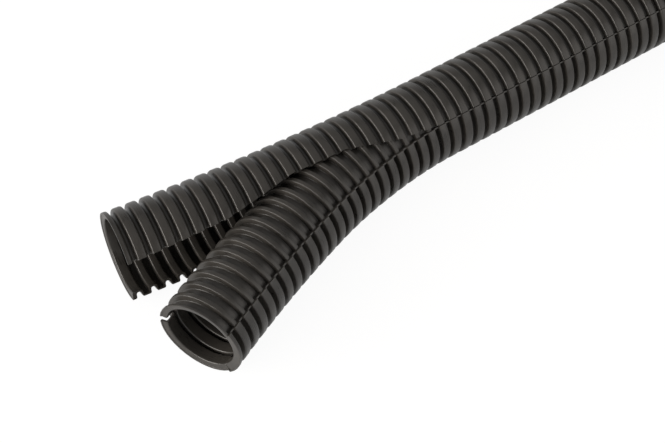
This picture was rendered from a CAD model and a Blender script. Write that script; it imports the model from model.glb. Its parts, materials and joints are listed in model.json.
"""A two-part corrugated conduit, one metre long, peeled apart at its near end, on a pale floor.

Both tubes are drawn straight first: the line of one wave is spun round the axis and repeated along the
tube. The sheet gets its wall, and then each tube is flexed along its branch of the fork. The far end is
at X = 0 and the near end points to -X. Angles round a tube start at -Y and grow towards +Z.
Lengths in the classes are in millimetres, and Blender gets metres.
"""

import json
import logging
import math
from dataclasses import dataclass, replace
from enum import Enum

import bpy
import numpy as np
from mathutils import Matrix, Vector


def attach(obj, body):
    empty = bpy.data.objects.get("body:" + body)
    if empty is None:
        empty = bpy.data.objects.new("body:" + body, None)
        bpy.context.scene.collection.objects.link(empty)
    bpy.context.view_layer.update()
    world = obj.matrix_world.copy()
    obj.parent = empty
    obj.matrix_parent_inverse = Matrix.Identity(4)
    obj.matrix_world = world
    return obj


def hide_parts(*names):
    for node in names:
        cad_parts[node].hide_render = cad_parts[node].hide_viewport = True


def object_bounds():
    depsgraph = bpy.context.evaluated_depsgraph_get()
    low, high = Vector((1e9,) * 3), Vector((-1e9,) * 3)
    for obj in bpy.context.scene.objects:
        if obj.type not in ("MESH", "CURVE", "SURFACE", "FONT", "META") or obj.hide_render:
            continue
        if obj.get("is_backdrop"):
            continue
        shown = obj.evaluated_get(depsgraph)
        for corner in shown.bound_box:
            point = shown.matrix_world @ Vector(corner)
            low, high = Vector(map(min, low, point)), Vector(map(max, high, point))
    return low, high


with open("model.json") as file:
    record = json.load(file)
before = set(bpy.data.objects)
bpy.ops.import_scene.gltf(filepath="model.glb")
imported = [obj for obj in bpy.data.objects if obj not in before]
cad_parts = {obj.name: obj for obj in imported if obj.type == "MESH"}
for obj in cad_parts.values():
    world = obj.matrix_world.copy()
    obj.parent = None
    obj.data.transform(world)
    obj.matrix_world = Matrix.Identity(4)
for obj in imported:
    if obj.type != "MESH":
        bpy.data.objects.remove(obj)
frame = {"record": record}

log = logging.getLogger("conduit")
MM = 0.001
MERGE = 0.01 * MM  # points nearer than this are one point
SPUN = 350.0  # how far a wave is spun, in degrees, before its copies get their own places
SMOOTH_BELOW = 60.0  # edges that turn less than this, in degrees, are shaded smooth
ROW_GAP = 5.0  # how far a grid's second row is put aside before it is deleted
WARM = (1.0, 0.95, 0.9)  # colour of the studio's light
FORK = (-0.8, 0.0, 0.0)  # the root of the fork, in metres, which the lamps face


# ---- Small helpers for the workshop ----


def srgb(code: str) -> tuple[float, float, float, float]:
    """Turn an sRGB hex colour into Blender's linear colour.

    Args:
        code: Six hex digits, with or without a leading #.

    Returns:
        Linear red, green and blue, and an alpha of 1.
    """
    values = [int(code.lstrip("#")[i : i + 2], 16) / 255 for i in (0, 2, 4)]
    linear = [v / 12.92 if v <= 0.04045 else ((v + 0.055) / 1.055) ** 2.4 for v in values]
    return (linear[0], linear[1], linear[2], 1.0)


def add_node(
    tree: bpy.types.NodeTree, kind: str, settings: dict | None = None, **links
) -> bpy.types.Node:
    """Add a node with its settings, and fill its inputs.

    Args:
        tree: The node tree that gets the node.
        kind: The node's type name.
        settings: Attributes of the node itself.
        links: Input values by socket name, with _ for a space, or by index as i0, i1 and so on.
            A node output is linked, and anything else is set as the input's value.

    Returns:
        The new node.
    """
    node = tree.nodes.new(kind)
    for name, value in (settings or {}).items():
        setattr(node, name, value)
    for name, value in links.items():
        by_index = name[0] == "i" and name[1:].isdigit()
        socket = node.inputs[int(name[1:]) if by_index else name.replace("_", " ")]
        if isinstance(value, bpy.types.NodeSocket):
            tree.links.new(value, socket)
        else:
            socket.default_value = value
    return node


def deselect_all() -> None:
    """Leave edit mode and clear the selection, which the frame leaves full."""
    if bpy.context.object and bpy.context.object.mode != "OBJECT":
        bpy.ops.object.mode_set(mode="OBJECT")
    bpy.ops.object.select_all(action="DESELECT")


def pick(obj: bpy.types.Object) -> None:
    """Select one object alone and make it active."""
    deselect_all()
    obj.select_set(True)
    bpy.context.view_layer.objects.active = obj


def coordinates(obj: bpy.types.Object) -> np.ndarray:
    """Read a mesh object's vertices as an array of rows, in metres."""
    flat = np.empty(len(obj.data.vertices) * 3, np.float32)
    obj.data.vertices.foreach_get("co", flat)
    return flat.reshape(-1, 3).astype(float)


def set_coordinates(obj: bpy.types.Object, rows: np.ndarray) -> None:
    """Write a mesh object's vertices from an array of rows, in metres."""
    obj.data.vertices.foreach_set("co", rows.astype(np.float32).ravel())
    obj.data.update()


def apply_modifier(obj: bpy.types.Object, kind: str, **settings) -> None:
    """Add a modifier, set it up and apply it at once.

    Args:
        obj: The mesh object.
        kind: The modifier's type name.
        settings: Attributes of the modifier.
    """
    pick(obj)
    modifier = obj.modifiers.new(kind.title(), kind)
    for name, value in settings.items():
        setattr(modifier, name, value)
    bpy.ops.object.modifier_apply(modifier=modifier.name)


# ---- Finishes ----


@dataclass(frozen=True)
class MouldedPolypropylene:
    """Black polypropylene, blow-moulded between running mould blocks: satin, with faint streaks."""

    name: str
    deep: str = "2e2c29"  # the body colour, a black that is a little warm
    streak: str = "3c3935"  # lighter streaks, where the skin holds less pigment
    roughness: float = 0.3  # a satin skin, which shows a lamp as a soft line
    streak_mm: float = 0.7  # width of a streak
    streak_stretch: float = 10.0  # how many times longer than wide a streak is
    cloud_mm: float = 18.0  # size of the patches where the streaks come and go
    grain_mm: float = 0.35  # grain of the mould's skin, drawn coarse enough to show
    bump_mm: float = 0.02

    def material(self) -> bpy.types.Material:
        """Build the material.

        Returns:
            A material whose pattern follows the tube through its own UV map, in metres.
        """
        made = bpy.data.materials.new(self.name)
        made.use_nodes = True
        tree = made.node_tree
        shader = tree.nodes["Principled BSDF"]
        skin = add_node(tree, "ShaderNodeUVMap", {"uv_map": "skin"}).outputs["UV"]
        # the skin's second direction runs round the tube, and the streaks are stretched that way
        stretched = add_node(
            tree, "ShaderNodeMapping", Vector=skin, Scale=(1.0, 1 / self.streak_stretch, 1.0)
        ).outputs["Vector"]
        streaks = add_node(
            tree, "ShaderNodeTexNoise", Vector=stretched, Scale=1 / (self.streak_mm * MM),
            Detail=3.0, Roughness=0.6,
        ).outputs["Fac"]
        grain = add_node(
            tree, "ShaderNodeTexNoise", Vector=skin, Scale=1 / (self.grain_mm * MM), Detail=2.0,
        ).outputs["Fac"]
        clouds = add_node(
            tree, "ShaderNodeTexNoise", Vector=skin, Scale=1 / (self.cloud_mm * MM), Detail=4.0,
        ).outputs["Fac"]
        mixed = add_node(
            tree, "ShaderNodeMath", {"operation": "MULTIPLY"}, i0=streaks, i1=clouds
        ).outputs[0]
        share = add_node(
            tree, "ShaderNodeMapRange", Value=mixed, From_Min=0.12, From_Max=0.42
        ).outputs["Result"]
        colour = add_node(
            tree, "ShaderNodeMix", {"data_type": "RGBA"}, i0=share,
            i6=srgb(self.deep), i7=srgb(self.streak),
        ).outputs[2]
        tree.links.new(colour, shader.inputs["Base Color"])
        rough = add_node(
            tree, "ShaderNodeMapRange", Value=mixed, From_Min=0.1, From_Max=0.45,
            To_Min=self.roughness - 0.05, To_Max=self.roughness + 0.1,
        ).outputs["Result"]
        tree.links.new(rough, shader.inputs["Roughness"])
        relief = add_node(
            tree, "ShaderNodeMath", {"operation": "ADD"}, i0=streaks, i1=grain
        ).outputs[0]
        bump = add_node(
            tree, "ShaderNodeBump", Height=relief, Strength=0.5, Distance=self.bump_mm * MM
        ).outputs["Normal"]
        tree.links.new(bump, shader.inputs["Normal"])
        shader.inputs["IOR"].default_value = 1.49
        return made


@dataclass(frozen=True)
class StudioPaper:
    """A white paper floor, lit a little from itself so that it stays white and keeps a soft shadow."""

    name: str = "white_studio_paper"
    colour: str = "f4f4f4"
    glow: float = 0.88  # share of what is seen that is plain white, whatever falls on the paper
    white: float = 1.06  # strength of that white, seen straight or through glass
    gloss_white: float = 0.65  # its strength in a reflection

    def material(self) -> bpy.types.Material:
        """Build the material, which the camera, gloss and glass see as nearly white."""
        made = bpy.data.materials.new(self.name)
        made.use_nodes = True
        tree = made.node_tree
        tree.nodes.remove(tree.nodes["Principled BSDF"])
        paper = add_node(tree, "ShaderNodeBsdfDiffuse", Color=srgb(self.colour)).outputs["BSDF"]
        ray = add_node(tree, "ShaderNodeLightPath")
        power = add_node(
            tree, "ShaderNodeMapRange", Value=ray.outputs["Is Glossy Ray"],
            To_Min=self.white, To_Max=self.gloss_white,
        ).outputs["Result"]
        white = add_node(
            tree, "ShaderNodeEmission", Color=(1, 1, 1, 1), Strength=power
        ).outputs["Emission"]
        seen = add_node(
            tree, "ShaderNodeMath", {"operation": "MAXIMUM"},
            i0=ray.outputs["Is Camera Ray"], i1=ray.outputs["Is Glossy Ray"],
        ).outputs[0]
        seen = add_node(
            tree, "ShaderNodeMath", {"operation": "MAXIMUM"},
            i0=seen, i1=ray.outputs["Is Transmission Ray"],
        ).outputs[0]
        share = add_node(
            tree, "ShaderNodeMath", {"operation": "MULTIPLY"}, i0=seen, i1=self.glow
        ).outputs[0]
        both = add_node(tree, "ShaderNodeMixShader", i0=share, i1=paper, i2=white).outputs["Shader"]
        tree.links.new(both, tree.nodes["Material Output"].inputs["Surface"])
        return made


# ---- The wave and the fork ----


class Zone(Enum):
    """What a tube's wall is at one place round it."""

    WALL = "wall"
    BAR = "bar"
    STRIP = "strip"


class Detail(Enum):
    """How many straight steps round a crest's corner and a valley's corner."""

    FINE = (2, 2)
    PLAIN = (1, 0)


@dataclass(frozen=True)
class Wave:
    """One surface of one wave, from the middle of a crest to the middle of the next."""

    half: float  # half width of the crest's top
    top: float  # distance of the crest from the axis
    foot: float  # distance of the valley from the axis
    crest_round: float = 0.95  # radius of a crest's corner
    valley_round: float = 1.2  # radius of a valley's corner
    draft: float = 0.13  # slope of the sides, sideways for each unit of depth

    def points(self, pitch: float, detail: Detail) -> np.ndarray:
        """Draw the surface as a line.

        Args:
            pitch: Distance from crest to crest.
            detail: How finely the corners are rounded.

        Returns:
            Rows of distance along the tube and distance from the axis.
        """
        crest_steps, valley_steps = detail.value
        foot_at = self.half + self.draft * (self.top - self.foot)
        crest, valley = np.array([self.half, self.top]), np.array([foot_at, self.foot])
        side = (valley - crest) / np.linalg.norm(valley - crest)
        along = np.array([1.0, 0.0])
        upper = self.rounded(crest, -along, side, self.crest_round, crest_steps)
        lower = self.rounded(valley, -side, along, self.valley_round, valley_steps)
        leaving = [np.array([0.0, self.top]), *upper, *lower]
        coming = [np.array([pitch - p[0], p[1]]) for p in reversed(leaving)]
        return np.array(leaving + coming)

    @staticmethod
    def rounded(
        corner: np.ndarray, back: np.ndarray, on: np.ndarray, radius: float, steps: int
    ) -> list[np.ndarray]:
        """Round a corner of the line.

        Args:
            corner: The sharp corner.
            back: Unit direction from the corner back along the line.
            on: Unit direction from the corner onwards.
            radius: Radius of the rounding.
            steps: Straight steps in the rounding. None leaves the corner sharp.

        Returns:
            The points that take the corner's place.
        """
        if not steps:
            return [corner]
        half_open = math.acos(float(np.clip(back @ on, -1, 1))) / 2
        reach = radius / math.tan(half_open)
        middle = corner + (back + on) / np.linalg.norm(back + on) * radius / math.sin(half_open)
        start, end = corner + back * reach - middle, corner + on * reach - middle
        turn = math.pi - 2 * half_open
        return [
            middle + (start * math.sin((1 - t) * turn) + end * math.sin(t * turn)) / math.sin(turn)
            for t in (i / steps for i in range(steps + 1))
        ]


@dataclass(frozen=True)
class Branch:
    """The middle line of one tube: straight from the far end, then curving away in the fork."""

    pitch: float
    straight: float  # length up to the fork
    turn_early: float  # turn at each of the first pitches of the fork, in degrees
    turn_late: float  # turn at each later pitch, in degrees
    early_pitches: float  # number of those first pitches
    sink: float = 0.0  # how far the tube sinks as it leaves the other
    sink_pitches: float = 6.0  # over how many pitches it sinks
    fork_pitches: float = 24.0
    step: float = 0.1  # step in which the middle line is drawn

    def place(self, along: np.ndarray, azimuth: np.ndarray, radius: np.ndarray) -> np.ndarray:
        """Put points on the branch.

        Args:
            along: Distance of each point from the far end.
            azimuth: Angle round the tube in degrees, from the side that faces -Y towards the top.
            radius: Distance from the middle line.

        Returns:
            Rows of X, Y and Z.
        """
        line = np.arange(-self.pitch, self.fork_pitches * self.pitch, self.step)
        heading, dip = self.directions(line)
        moves = -self.step * np.column_stack(
            [np.cos(heading) * np.cos(dip), np.sin(heading) * np.cos(dip), np.sin(dip)]
        )
        middle = np.cumsum(moves, axis=0) - moves / 2
        middle += np.array([-self.straight, 0, 0]) - np.array(
            [np.interp(0, line, middle[:, i]) for i in range(3)]
        )
        rest = along - self.straight
        before = rest <= line[1]
        centre = np.column_stack([np.interp(rest, line, middle[:, i]) for i in range(3)])
        centre[before] = np.column_stack([-along, 0 * along, 0 * along])[before]
        h, d = self.directions(rest)
        side, up = -radius * np.cos(np.radians(azimuth)), radius * np.sin(np.radians(azimuth))
        lean, up = -up * np.sin(d), up * np.cos(d)
        return centre + np.column_stack(
            [lean * np.cos(h) - side * np.sin(h), lean * np.sin(h) + side * np.cos(h), up]
        )

    def directions(self, rest: np.ndarray) -> tuple[np.ndarray, np.ndarray]:
        """Find the direction of the middle line.

        Args:
            rest: Distances past the start of the fork.

        Returns:
            The heading and the dip at each distance, in radians.
        """
        n = rest / self.pitch
        early = np.clip(n + 0.5, 0, self.early_pitches)
        late = np.clip(n + 0.5 - self.early_pitches, 0, None)
        fall = math.asin(self.sink / (self.sink_pitches * self.pitch))
        bends = [-0.5, 0.5, self.sink_pitches - 0.5, self.sink_pitches + 0.5]
        dip = np.interp(n, bends, [0, fall, fall, 0])
        return np.radians(self.turn_early * early + self.turn_late * late), dip


# ---- The tubes ----


@dataclass
class Sheet:
    """Where each point of a tube's sheet lies, as arrays with one value for each point."""

    line: np.ndarray  # number of its line along the tube
    zone: np.ndarray  # number of its zone, in the order of Zone
    wave: np.ndarray  # number of its wave, from the far end
    fine: np.ndarray  # whether its wave has fine detail
    knot: np.ndarray  # number of its point in the wave


@dataclass
class Tube:
    """What both tubes share: how a corrugated tube is drawn, walled and flexed."""

    name: str
    slot: str
    finish: MouldedPolypropylene
    crest_r: float
    pitch: float = 9.0
    pitches: int = 111
    fork_pitches: int = 24
    fine_pitches: int = 42  # waves with fine detail, from the near end
    wave_depth: float = 3.4
    crest_half: float = 2.7
    wall: float = 0.9
    clearance: float = 0.35
    lip: float = 0.35  # depth that is left of the cut crest's hollow at the near end
    strip_lo: float = -45.5  # azimuths of the strip's edges
    strip_hi: float = 40.5

    @property
    def straight(self) -> float:
        """Length from the far end up to the fork."""
        return (self.pitches - self.fork_pitches + 0.5) * self.pitch

    def columns(self) -> list[tuple[float, float, Zone]]:
        """List the lines along the tube, from one cut edge round to the other.

        Returns:
            For each line its azimuth at rest, its share of the way between the edges of its
            stretch, and its zone.
        """
        raise NotImplementedError

    def surface(self, zone: Zone, outside: bool) -> Wave:
        """Give the wave of one zone's outside or inside surface."""
        raise NotImplementedError

    def inside_of(self, outer: Wave) -> Wave:
        """Give the inside of the wall whose outside is known."""
        return replace(
            outer, half=outer.half - self.wall, top=outer.top - self.wall,
            foot=outer.foot - self.wall, crest_round=0.3, valley_round=0.9,
        )

    def azimuths(self, line: np.ndarray, from_end: np.ndarray) -> np.ndarray:
        """Give each point's azimuth, from its line and its distance in pitches from the near end."""
        raise NotImplementedError

    def pressed(self, from_end: np.ndarray) -> np.ndarray:
        """Give how far the wall is pressed inwards, by distance in pitches from the near end."""
        return np.zeros_like(from_end)

    def branch(self) -> Branch:
        """Give the tube's middle line."""
        raise NotImplementedError

    def wave_band(self, detail: Detail, count: int, start: float) -> bpy.types.Object:
        """Draw one wave as a wire, spin it round the axis and repeat it along the tube.

        Args:
            detail: How finely the corners are rounded.
            count: Number of waves.
            start: Distance of the first wave from the far end.

        Returns:
            An open sheet with as many lines along it as the tube has.
        """
        points = self.surface(Zone.WALL, True).points(self.pitch, detail)
        deselect_all()
        bpy.ops.mesh.primitive_grid_add(x_subdivisions=len(points) - 1, y_subdivisions=1, size=1)
        band = bpy.context.object
        grid = coordinates(band)
        order = np.argsort(np.argsort(np.where(grid[:, 1] < 0, grid[:, 0], grid[:, 0] + 2)))
        row = points[order % len(points)]
        spare = order >= len(points)
        aside = np.where(spare, ROW_GAP, 0.0)
        set_coordinates(band, np.column_stack([-(row[:, 0] + start), -row[:, 1], aside]) * MM)
        bpy.ops.object.mode_set(mode="EDIT")
        bpy.ops.mesh.select_all(action="DESELECT")
        bpy.ops.object.mode_set(mode="OBJECT")
        band.data.vertices.foreach_set("select", spare)
        bpy.ops.object.mode_set(mode="EDIT")
        bpy.ops.mesh.select_mode(type="VERT")
        bpy.ops.mesh.delete(type="VERT")
        bpy.ops.mesh.select_all(action="SELECT")
        bpy.ops.mesh.spin(
            steps=len(self.columns()) - 1, angle=math.radians(SPUN), center=(0, 0, 0), axis=(1, 0, 0)
        )
        bpy.ops.object.mode_set(mode="OBJECT")
        apply_modifier(
            band, "ARRAY", count=count, use_relative_offset=False, use_constant_offset=True,
            constant_offset_displace=(-self.pitch * MM, 0, 0), use_merge_vertices=True,
            merge_threshold=MERGE,
        )
        return band

    def whole_band(self) -> bpy.types.Object:
        """Join the plain and the fine waves into one sheet whose faces point outwards."""
        plain = self.pitches - self.fine_pitches
        far = self.wave_band(Detail.PLAIN, plain, 0.0)
        near = self.wave_band(Detail.FINE, self.fine_pitches, plain * self.pitch)
        pick(near)
        far.select_set(True)
        bpy.ops.object.join()
        bpy.ops.object.mode_set(mode="EDIT")
        bpy.ops.mesh.select_all(action="SELECT")
        bpy.ops.mesh.remove_doubles(threshold=MERGE)
        bpy.ops.mesh.normals_make_consistent(inside=False)
        bpy.ops.object.mode_set(mode="OBJECT")
        first = near.data.polygons[0]
        if first.normal.dot(Vector((0, first.center.y, first.center.z))) < 0:
            bpy.ops.object.mode_set(mode="EDIT")
            bpy.ops.mesh.select_all(action="SELECT")
            bpy.ops.mesh.flip_normals()
            bpy.ops.object.mode_set(mode="OBJECT")
        near.name = near.data.name = self.name + "_moulding"
        return near

    def read_sheet(self, band: bpy.types.Object) -> Sheet:
        """Find each point's line, zone and place in its wave, while the tube is still straight.

        Args:
            band: The tube as one sheet without a wall.

        Returns:
            The place of each of its points.
        """
        at = coordinates(band)
        along = -at[:, 0] / MM
        turned = np.degrees(np.arctan2(at[:, 2], -at[:, 1])) % 360
        columns = self.columns()
        line = np.rint(turned / (SPUN / (len(columns) - 1))).astype(int) % len(columns)
        hair = 1e-4  # puts a point on the border of two waves in the second
        wave = np.floor(along / self.pitch + hair).astype(int)
        fine = wave >= self.pitches - self.fine_pitches
        knots = {}
        for detail in Detail:
            drawn = self.surface(Zone.WALL, True).points(self.pitch, detail)[:, 0]
            knots[detail] = np.abs((along - wave * self.pitch)[:, None] - drawn).argmin(axis=1)
        return Sheet(
            line=line,
            zone=np.array([list(Zone).index(zone) for _, _, zone in columns])[line],
            wave=wave,
            fine=fine,
            knot=np.where(fine, knots[Detail.FINE], knots[Detail.PLAIN]),
        )

    def shape(self, sheet: Sheet, outside: bool) -> tuple[np.ndarray, np.ndarray, np.ndarray]:
        """Shape the outside or the inside surface of the wall.

        Args:
            sheet: The place of each point.
            outside: Whether it is the outside.

        Returns:
            Each point's distance from the far end, azimuth and distance from the middle line.
        """
        at = np.zeros((len(sheet.line), 2))
        yields = np.zeros(len(sheet.line))
        for number, zone in enumerate(Zone):
            surface = self.surface(zone, outside)
            for detail in Detail:
                here = (sheet.zone == number) & (sheet.fine == (detail is Detail.FINE))
                at[here] = surface.points(self.pitch, detail)[sheet.knot[here]]
            here = sheet.zone == number
            yields[here] = self.give(zone, outside, at[here][:, 1], surface)
            if not outside:
                # the last side of the wave stands at the cut, where it shows as a flat ring
                ring = here & (sheet.wave == self.pitches - 1) & (at[:, 0] > self.pitch / 2)
                at[ring, 0] = np.minimum(at[ring, 0] + surface.half - self.lip, self.pitch)
        along = sheet.wave * self.pitch + at[:, 0]
        from_end = self.pitches - along / self.pitch
        radius = at[:, 1] - self.pressed(from_end) * yields
        return along, self.azimuths(sheet.line, from_end), radius

    def build(self) -> bpy.types.Object:
        """Make the whole tube: sheet, wall, shape, flex, shading and finish.

        Returns:
            The finished piece, which stands for the tube's node.
        """
        tube = self.whole_band()
        sheet = self.read_sheet(tube)
        apply_modifier(tube, "SOLIDIFY", thickness=self.wall * MM, offset=-1.0)
        along, azimuth, radius = (
            np.concatenate(pair) for pair in zip(self.shape(sheet, True), self.shape(sheet, False))
        )
        set_coordinates(tube, self.branch().place(along, azimuth, radius) * MM)
        self.map_skin(tube, along, azimuth)
        pick(tube)
        bpy.ops.object.shade_smooth_by_angle(
            angle=math.radians(SMOOTH_BELOW), keep_sharp_edges=False
        )
        apply_modifier(tube, "WEIGHTED_NORMAL", mode="FACE_AREA", weight=60, keep_sharp=True)
        tube.data.materials.clear()
        tube.data.materials.append(self.finish.material())
        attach(tube, "root")
        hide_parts(self.name)
        log.info("%s: %d faces", tube.name, len(tube.data.polygons))
        return tube

    def give(self, zone: Zone, outside: bool, radius: np.ndarray, surface: Wave) -> np.ndarray:
        """Give the share of the press that reaches each point.

        Args:
            zone: The points' zone.
            outside: Whether they are on the outside.
            radius: Their distances from the axis.
            surface: The wave that they are on.

        Returns:
            All of it in the wall, none on top of the bars, and more the deeper in the strip.
        """
        if zone is Zone.WALL or (zone is Zone.BAR and not outside):
            return np.ones_like(radius)
        if zone is Zone.BAR:
            return np.zeros_like(radius)
        return np.clip((surface.top - radius) / (surface.top - surface.foot), 0, 1)

    def map_skin(self, tube: bpy.types.Object, along: np.ndarray, azimuth: np.ndarray) -> None:
        """Lay a UV map in metres on the skin, along the tube and round it.

        Args:
            tube: The tube's object.
            along: Each vertex's distance from the far end.
            azimuth: Each vertex's angle round the tube in degrees.
        """
        layer = tube.data.uv_layers.new(name="skin")
        corner = np.empty(len(tube.data.loops), np.int32)
        tube.data.loops.foreach_get("vertex_index", corner)
        skin = np.column_stack([along, np.radians(azimuth) * self.crest_r])[corner] * MM
        layer.data.foreach_set("uv", skin.astype(np.float32).ravel())


@dataclass
class OuterTube(Tube):
    """The outer tube: open along one side, and spread where the inner tube leaves it."""

    facets: int = 46  # faces round the wall
    edge_gap: float = 0.736  # clearance at each edge of the opening, in degrees
    # how far each edge is spread, in degrees, by distance in pitches from the near end
    upper_spread: tuple = ((0, 7, 12, 16, 20, 23), (-2, 5, 25, 25, 6, 0))
    lower_spread: tuple = ((4, 9, 13, 22, 24), (2, 30, 50, 50, 0))

    def columns(self) -> list[tuple[float, float, Zone]]:
        """List the lines along the tube, evenly from the upper edge round the back to the lower."""
        lo, hi = self.strip_hi + self.edge_gap, 360 + self.strip_lo - self.edge_gap
        shares = [i / self.facets for i in range(self.facets + 1)]
        return [(lo + (hi - lo) * t, t, Zone.WALL) for t in shares]

    def surface(self, zone: Zone, outside: bool) -> Wave:
        """Give the wave of the outside or the inside surface."""
        outer = Wave(self.crest_half, self.crest_r, self.crest_r - self.wave_depth)
        return outer if outside else self.inside_of(outer)

    def azimuths(self, line: np.ndarray, from_end: np.ndarray) -> np.ndarray:
        """Spread the lines between the two edges of the opening."""
        share = np.array([c[1] for c in self.columns()])[line]
        upper = self.strip_hi + self.edge_gap + np.interp(from_end, *self.upper_spread)
        lower = 360 + self.strip_lo - self.edge_gap - np.interp(from_end, *self.lower_spread)
        return upper + (lower - upper) * share

    def branch(self) -> Branch:
        """Give the branch, which curves a little away from the inner tube."""
        return Branch(
            self.pitch, self.straight, turn_early=-0.6, turn_late=-0.31, early_pitches=1
        )


@dataclass
class InnerTube(Tube):
    """The inner tube: a slit along its back and a raised strip, between two bars, along its front."""

    wall_facets: int = 15  # faces round the wall on each side of the strip
    strip_facets: int = 10  # faces round the strip
    bar: float = 2.0  # width of a bar, in degrees
    step: float = 0.2  # width of the step between two zones, in degrees
    bar_drop: float = 1.6  # depth of a bar's top below the crest
    slit_mid: float = 177.5  # azimuth of the slit's middle
    slit: float = 5.0  # width of the slit in the nested stretch, in degrees
    slit_free: float = 11.0  # its width at the near end, in degrees
    slit_share: tuple = ((6, 18), (1, 0))  # share of the widening, by pitches from the near end
    press: float = 1.2  # how far the other tube presses the wall inwards in the fork
    press_share: tuple = ((7, 12, 18, 21, 23), (0, 0.8, 1, 1, 0))

    def columns(self) -> list[tuple[float, float, Zone]]:
        """List the lines along the tube, from the slit up over the strip and round to the slit."""
        low, high = self.strip_lo, self.strip_hi
        slit_low, slit_high = self.slit_mid - 360 + self.slit / 2, self.slit_mid - self.slit / 2
        lines = [
            (slit_low + (low - slit_low) * i / self.wall_facets, 1 - i / self.wall_facets, Zone.WALL)
            for i in range(self.wall_facets + 1)
        ]
        lines += [(low + self.step, 0.0, Zone.BAR), (low + self.bar, 0.0, Zone.BAR)]
        first, last = low + self.bar + self.step, high - self.bar - self.step
        lines += [
            (first + (last - first) * i / self.strip_facets, 0.0, Zone.STRIP)
            for i in range(self.strip_facets + 1)
        ]
        lines += [(high - self.bar, 0.0, Zone.BAR), (high - self.step, 0.0, Zone.BAR)]
        lines += [
            (high + (slit_high - high) * i / self.wall_facets, i / self.wall_facets, Zone.WALL)
            for i in range(self.wall_facets + 1)
        ]
        return lines

    def surface(self, zone: Zone, outside: bool) -> Wave:
        """Give the wave of one zone's outside or inside surface."""
        valley = self.crest_r - self.wave_depth - self.wall - self.clearance
        if zone is Zone.BAR and outside:
            top = self.crest_r - self.bar_drop
            return Wave(self.crest_half, self.crest_r, top, crest_round=0.5, valley_round=0.3)
        if zone is Zone.STRIP:
            outer = Wave(self.crest_half, self.crest_r, valley)
        else:
            outer = Wave(
                self.crest_half - self.wall - self.clearance,
                self.crest_r - self.wall - self.clearance, valley,
                crest_round=0.5, valley_round=0.6,
            )
        return outer if outside else self.inside_of(outer)

    def azimuths(self, line: np.ndarray, from_end: np.ndarray) -> np.ndarray:
        """Draw the two edges of the slit apart towards the near end."""
        rest = np.array([c[0] for c in self.columns()])[line]
        share = np.array([c[1] for c in self.columns()])[line]
        opened = (self.slit_free - self.slit) / 2 * np.interp(from_end, *self.slit_share)
        return rest + np.where(rest < 0, opened, -opened) * share

    def pressed(self, from_end: np.ndarray) -> np.ndarray:
        """Give how far the wall is pressed inwards, by distance in pitches from the near end."""
        return self.press * np.interp(from_end, *self.press_share)

    def branch(self) -> Branch:
        """Give the branch, which curves forward and sinks to the floor."""
        return Branch(
            self.pitch, self.straight, turn_early=1.6, turn_late=0.55, early_pitches=12,
            sink=self.wall + self.clearance,
        )


# ---- Studio ----


@dataclass(frozen=True)
class Softbox:
    """A rectangular lamp with a wide, soft light."""

    name: str
    place: tuple[float, float, float]  # metres
    size: tuple[float, float]  # width and height, metres
    power: float  # watts

    def hang(self) -> None:
        """Hang the lamp, facing the root of the fork."""
        light = bpy.data.lights.new(self.name, "AREA")
        light.shape, light.energy, light.color = "RECTANGLE", self.power, WARM
        light.size, light.size_y = self.size
        lamp = bpy.data.objects.new(self.name, light)
        bpy.context.scene.collection.objects.link(lamp)
        lamp.location = self.place
        aim = Vector(FORK) - lamp.location
        lamp.rotation_euler = aim.to_track_quat("-Z", "Y").to_euler()


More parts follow.
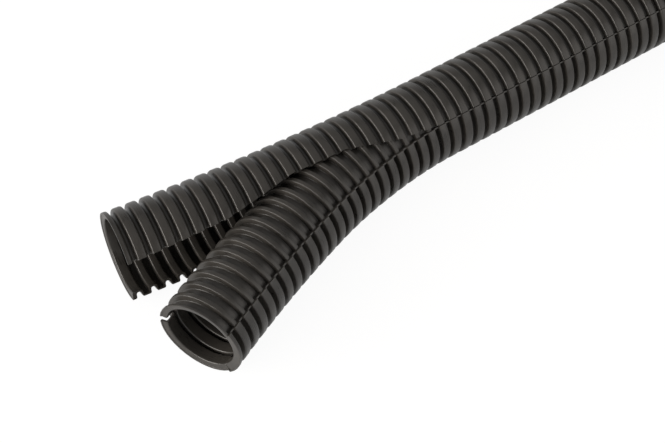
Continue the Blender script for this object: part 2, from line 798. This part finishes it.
@dataclass
class Studio:
    """White paper, softboxes, a pale room and the camera."""

    floor_z: float
    centre: Vector
    paper_size: float = 14.0  # metres
    side_light: float = 0.8  # strength of the room's light from the horizon
    top_light: float = 0.22  # its strength from above
    top_from: float = 0.6  # height, on a sphere of radius 1, from which it counts as above
    lens: float = 79.55
    position: tuple[float, float, float] = (-1185.9, -478.4, 677.1)  # millimetres
    facing: tuple[float, float, float] = (0.352, 0.51406, -0.7822)
    softboxes: tuple[Softbox, ...] = (
        Softbox("overhead_softbox", (-0.6, 0.3, 1.6), (1.8, 1.8), 2.5),
        Softbox("end_sweep", (-3.4, 0.3, 0.85), (3.4, 1.3), 110.0),
        Softbox("front_softbox", (0.4, -1.6, 1.1), (1.8, 1.8), 10.0),
    )

    def set_up(self) -> None:
        """Lay the floor, hang the lamps, light the room and place the camera."""
        self.paper()
        for softbox in self.softboxes:
            softbox.hang()
        self.room()
        self.camera()

    def paper(self) -> None:
        """Lay a wide sheet of paper under the conduit."""
        deselect_all()
        bpy.ops.mesh.primitive_plane_add(
            size=self.paper_size, location=(self.centre.x, self.centre.y, self.floor_z)
        )
        sheet = bpy.context.object
        sheet.name = "studio_paper"
        bpy.ops.object.transform_apply(location=True)
        sheet.data.materials.append(StudioPaper().material())
        sheet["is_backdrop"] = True

    def room(self) -> None:
        """Make the room white, with less light from above than from the sides."""
        world = bpy.context.scene.world or bpy.data.worlds.new("studio")
        bpy.context.scene.world = world
        world.use_nodes = True
        tree = world.node_tree
        back = tree.nodes["Background"]
        back.inputs["Color"].default_value = (1, 1, 1, 1)
        seen = add_node(tree, "ShaderNodeLightPath").outputs["Is Camera Ray"]
        towards = add_node(tree, "ShaderNodeTexCoord").outputs["Generated"]
        height = add_node(tree, "ShaderNodeSeparateXYZ", Vector=towards).outputs["Z"]
        light = add_node(
            tree, "ShaderNodeMapRange", Value=height, From_Max=self.top_from,
            To_Min=self.side_light, To_Max=self.top_light,
        ).outputs["Result"]
        # the camera sees the room as plain white
        strength = add_node(
            tree, "ShaderNodeMapRange", Value=seen, To_Min=light, To_Max=1.0
        ).outputs["Result"]
        tree.links.new(strength, back.inputs["Strength"])

    def camera(self) -> None:
        """Place the camera above the fork and look along the conduit."""
        data = bpy.data.cameras.new("studio_camera")
        data.sensor_width = 36.0
        data.lens = self.lens
        data.clip_end = 50
        camera = bpy.data.objects.new("studio_camera", data)
        bpy.context.scene.collection.objects.link(camera)
        camera.location = Vector(self.position) * MM
        camera.rotation_euler = Vector(self.facing).to_track_quat("-Z", "Y").to_euler()
        bpy.context.scene.camera = camera


def main() -> None:
    """Build the conduit and its studio, and note both boxes."""
    logging.basicConfig(level=logging.INFO, format="%(name)s: %(message)s")
    cad_box = [list(corner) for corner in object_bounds()]
    outside = next(m for m in frame["record"]["mounts"] if m["name"] == "outside")
    radius = outside["dims"]["r_mm"]
    lowest, highest = Vector(cad_box[0]), Vector(cad_box[1])
    OuterTube(
        "outer_tube", "outer_plastic", MouldedPolypropylene("black_polypropylene_outer"), radius
    ).build()
    InnerTube(
        "inner_tube", "inner_plastic",
        MouldedPolypropylene("black_polypropylene_inner", deep="302e2b", streak="3e3b37"), radius,
    ).build()
    Studio(floor_z=lowest.z, centre=(lowest + highest) / 2).set_up()
    bpy.context.scene.view_settings.view_transform = "Standard"
    deselect_all()
    log.info("both tubes are in place")


if __name__ == "__main__":
    main()
